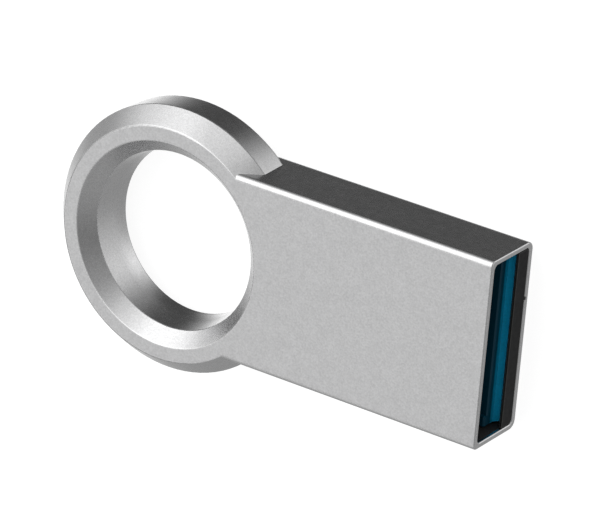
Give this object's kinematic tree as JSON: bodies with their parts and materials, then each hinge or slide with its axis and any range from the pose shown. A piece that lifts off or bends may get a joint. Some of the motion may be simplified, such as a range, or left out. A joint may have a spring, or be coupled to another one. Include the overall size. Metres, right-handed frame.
{
  "type": "usb flash drive",
  "caption": "One-piece metal flash drive: thick bevelled keyring loop running into a rectangular USB type A plug shell that holds a blue contact tongue.",
  "frame": {"origin": "middle of the bounding box, on the plane of the broad face that the drive lies on", "axes": "+X along the drive and out of the plug's mouth, +Y across its width, +Z out of the broad face on the mating-gap side"},
  "size_m": [0.0313, 0.017, 0.0045],
  "materials": {
    "plated_casting": "fine bead-blasted satin nickel plating on a zinc alloy casting",
    "black_moulding": "fine-textured black moulding",
    "blue_moulding": "smooth dark blue moulding",
    "gold_plated_contact": "gold-plated phosphor bronze sheet",
    "board_laminate": "solder-masked glass-epoxy laminate",
    "package_resin": "moulded black resin",
    "ferrite": "sintered ferrite",
    "crystal_can": "plated steel lid",
    "resistor_body": "ceramic with black overglaze",
    "capacitor_body": "unglazed ceramic",
    "solder": "tin-silver-copper solder",
    "amber_film": "polyimide film",
    "epoxy": "cured epoxy"
  },
  "bodies": {
    "root": {"housing": "plated_casting", "carrier_tray": "black_moulding", "contact_tongue": "blue_moulding", "spring_holder": "black_moulding", "contact_power": "gold_plated_contact", "contact_data_minus": "gold_plated_contact", "contact_data_plus": "gold_plated_contact", "contact_ground": "gold_plated_contact", "spring_contact_transmit_minus": "gold_plated_contact", "spring_contact_transmit_plus": "gold_plated_contact", "spring_contact_drain": "gold_plated_contact", "spring_contact_receive_minus": "gold_plated_contact", "spring_contact_receive_plus": "gold_plated_contact", "circuit_board": "board_laminate", "memory_package": "package_resin", "controller": "package_resin", "power_inductor": "ferrite", "voltage_regulator": "package_resin", "clock_crystal": "crystal_can", "surge_protector": "package_resin", "ferrite_bead": "ferrite", "pull_up_resistor": "resistor_body", "bulk_capacitor": "capacitor_body", "decoupling_capacitors": "capacitor_body", "coupling_capacitors": "capacitor_body", "termination_resistors": "resistor_body", "solder_joints": "solder", "insulating_film": "amber_film", "adhesive_bead": "epoxy"}
  },
  "joints": []
}
